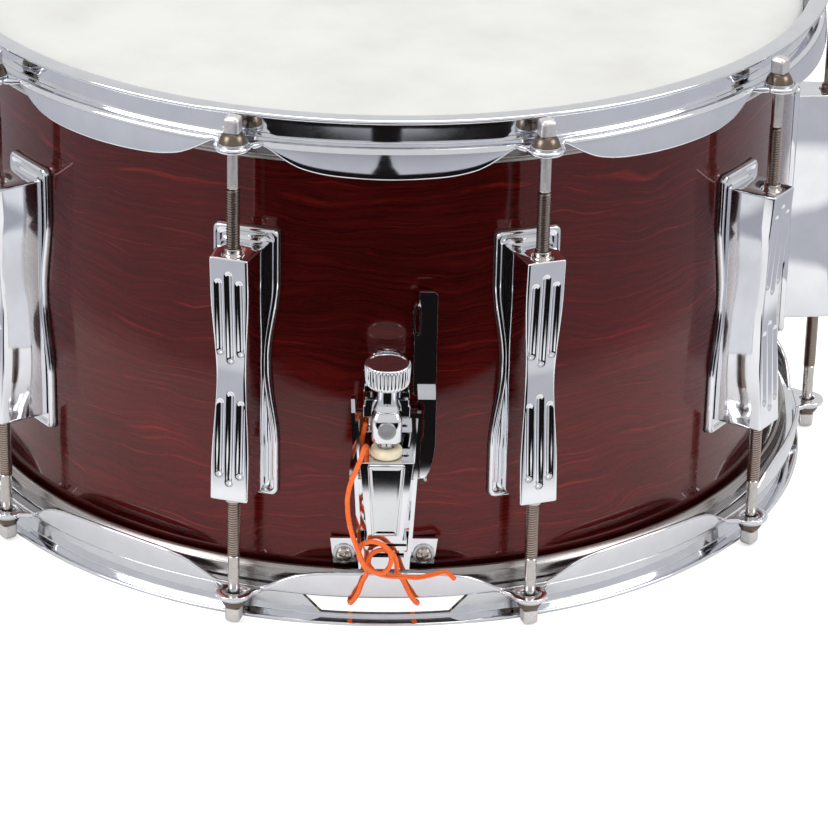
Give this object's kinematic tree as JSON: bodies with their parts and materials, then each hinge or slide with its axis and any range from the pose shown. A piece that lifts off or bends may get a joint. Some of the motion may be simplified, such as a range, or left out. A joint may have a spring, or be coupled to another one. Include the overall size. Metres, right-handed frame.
{
  "type": "snare drum",
  "caption": "Snare drum with a lacquered maple shell, long bow-tie lugs, flanged chrome hoops, a side-lever strainer and an orange snare cord.",
  "frame": {"origin": "on the drum's axis, in the plane that the snare-side rim rests on", "axes": "+Z along the drum's axis from the snare side to the batter side; -Y is the strainer's side; +Y is the butt plate's side"},
  "size_m": [0.404, 0.403, 0.2208],
  "materials": {
    "shell_lacquer": "high gloss lacquer over stained maple, horizontal grain",
    "maple_inside": "satin, bare maple",
    "chrome": "mirror polished",
    "nickel_steel": "nickel plated, slightly dull",
    "zinc_steel": "zinc plated",
    "aluminium": "drawn, satin",
    "coated_film": "sprayed matte coating",
    "clear_film": "thin hazy film",
    "gasket_rubber": "matte",
    "brass": "polished",
    "label_metal": "polished, blank",
    "nylon": "semi-matte",
    "strap_plastic": "clear strap",
    "snare_steel": "bright steel wire",
    "orange_cord": "smooth braided nylon"
  },
  "bodies": {
    "drum": {"shell": "shell_lacquer", "batter_reinforcement_ring": "maple_inside", "snare_reinforcement_ring": "maple_inside", "vent_grommet": "brass", "vent_badge": "chrome", "batter_head_film": "coated_film", "snare_head_film": "clear_film", "batter_flesh_hoop": "aluminium", "snare_flesh_hoop": "aluminium", "batter_hoop": "chrome", "snare_hoop": "chrome", "lug_gaskets": "gasket_rubber", "swivel_nuts": "zinc_steel", "lug_screws": "zinc_steel", "lug_screw_washers": "zinc_steel", "batter_tension_rods": "nickel_steel", "snare_tension_rods": "nickel_steel", "batter_rod_washers": "nickel_steel", "snare_rod_washers": "nickel_steel", "strainer_base": "chrome", "strainer_screws": "nickel_steel", "strainer_screw_washers": "nickel_steel", "strainer_nuts": "zinc_steel", "throw_pivot_pin": "nickel_steel", "butt_base": "chrome", "butt_clamp": "chrome", "butt_clamp_screws": "nickel_steel", "butt_screws": "nickel_steel", "butt_nuts": "zinc_steel", "butt_strap": "strap_plastic", "lug_01": "chrome", "lug_02": "chrome", "lug_03": "chrome", "lug_04": "chrome", "lug_05": "chrome", "lug_06": "chrome", "lug_07": "chrome", "lug_08": "chrome", "lug_09": "chrome", "lug_10": "chrome"},
    "lever": {"throw_lever": "chrome"},
    "carriage": {"carriage": "chrome", "label_plate": "label_metal", "cord_clamp": "chrome", "nylon_washer": "nylon", "adjust_nut": "zinc_steel", "snare_cord": "orange_cord"},
    "trunnion": {"trunnion_block": "chrome", "trunnion_rivet": "nickel_steel", "trunnion_yoke": "chrome"},
    "knob": {"adjust_screw": "nickel_steel", "adjust_knob": "chrome"},
    "snares": {"snare_wires": "snare_steel", "snare_end_plates": "snare_steel"}
  },
  "joints": [
    {"name": "throw_swing", "type": "hinge", "parent": "drum", "child": "lever", "pos_m": [0, -0.1825, 0.066], "axis": [1, 0, 0], "range_deg": [0, 75]},
    {"name": "carriage_drop", "type": "slide", "parent": "drum", "child": "carriage", "axis": [0, 0, -1], "range_m": [0, 0.003]},
    {"name": "screw_feed", "type": "slide", "parent": "carriage", "child": "trunnion", "axis": [0, 0, 1], "range_m": [-0.003, 0.003]},
    {"name": "knob_spin", "type": "hinge", "parent": "trunnion", "child": "knob", "pos_m": [0.0006, -0.193, 0.1], "axis": [0, 0, 1], "range_deg": [-1350, 1350]},
    {"name": "snare_tilt", "type": "hinge", "parent": "drum", "child": "snares", "pos_m": [0, 0.1678, 0.0048], "axis": [1, 0, 0], "range_deg": [0, 0.5]}
  ],
  "couplings": [
    {"joint": "carriage_drop", "follows": "throw_swing", "m_per_rad": 0.0022918},
    {"joint": "knob_spin", "follows": "screw_feed", "rad_per_m": 7854},
    {"joint": "snare_tilt", "follows": "throw_swing", "ratio": 0.0066}
  ]
}
